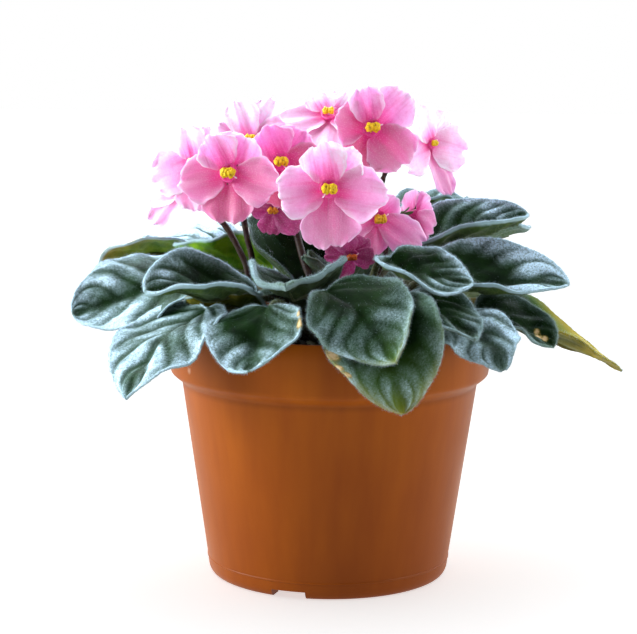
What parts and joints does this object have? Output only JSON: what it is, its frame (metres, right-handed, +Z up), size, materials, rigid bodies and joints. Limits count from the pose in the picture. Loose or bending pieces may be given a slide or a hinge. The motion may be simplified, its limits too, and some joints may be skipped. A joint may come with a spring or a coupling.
{
  "type": "potted african violet",
  "caption": "African violet with pink yellow-centred flowers over a rosette of dark fuzzy leaves, growing in soil in a terracotta-coloured plastic nursery pot.",
  "frame": {"origin": "centre of the pot's underside", "axes": "+Z up out of the pot, -Y towards the side that the tallest flowers face, +X to the right seen from there"},
  "size_m": [0.2087, 0.1738, 0.1835],
  "materials": {
    "terracotta_plastic": "satin moulded polypropylene, terracotta colour",
    "peat": "damp dark crumbly peat",
    "crown": "dull brown-green, ringed with leaf scars",
    "leaf": "dark green velvet of fine pale hairs, quilted between the veins",
    "stalk": "reddish brown, softly hairy",
    "petal": "thin soft petal with a fine glitter, deep magenta at the throat",
    "anther": "granular bright yellow pollen sacs"
  },
  "bodies": {
    "root": {"bloom_far_left": "petal", "bloom_far_left_anthers": "anther", "bloom_front": "petal", "bloom_front_anthers": "anther", "bloom_front_left": "petal", "bloom_front_left_anthers": "anther", "bloom_inner_shade": "petal", "bloom_inner_shade_anthers": "anther", "bloom_left": "petal", "bloom_left_anthers": "anther", "bloom_lower_right": "petal", "bloom_lower_right_anthers": "anther", "bloom_lowest": "petal", "bloom_lowest_anthers": "anther", "bloom_middle": "petal", "bloom_middle_anthers": "anther", "bloom_right_low": "petal", "bloom_right_low_anthers": "anther", "bloom_right_side": "petal", "bloom_right_side_anthers": "anther", "bloom_top": "petal", "bloom_top_anthers": "anther", "bloom_top_left": "petal", "bloom_top_left_anthers": "anther", "bloom_top_right": "petal", "bloom_top_right_anthers": "anther", "crown": "crown", "leaf_back_left_low": "leaf", "leaf_back_left_tip": "leaf", "leaf_back_middle": "leaf", "leaf_back_right_low": "leaf", "leaf_back_right_upper": "leaf", "leaf_back_upper_left": "leaf", "leaf_back_upper_right": "leaf", "leaf_front_broad": "leaf", "leaf_front_hanging": "leaf", "leaf_front_round": "leaf", "leaf_front_young": "leaf", "leaf_inner_back": "leaf", "leaf_left_back_low": "leaf", "leaf_left_back_raised": "leaf", "leaf_left_cupped": "leaf", "leaf_left_hanging": "leaf", "leaf_left_large": "leaf", "leaf_left_under": "leaf", "leaf_right_back_low": "leaf", "leaf_right_back_upper": "leaf", "leaf_right_cupped": "leaf", "leaf_right_dark": "leaf", "leaf_right_front_low": "leaf", "leaf_right_inner_low": "leaf", "leaf_right_large": "leaf", "leaf_right_long": "leaf", "pot": "terracotta_plastic", "potting_soil": "peat", "stalk_centre": "stalk", "stalk_left": "stalk", "stalk_left_inner": "stalk", "stalk_right": "stalk", "stalk_right_low": "stalk"}
  },
  "joints": []
}
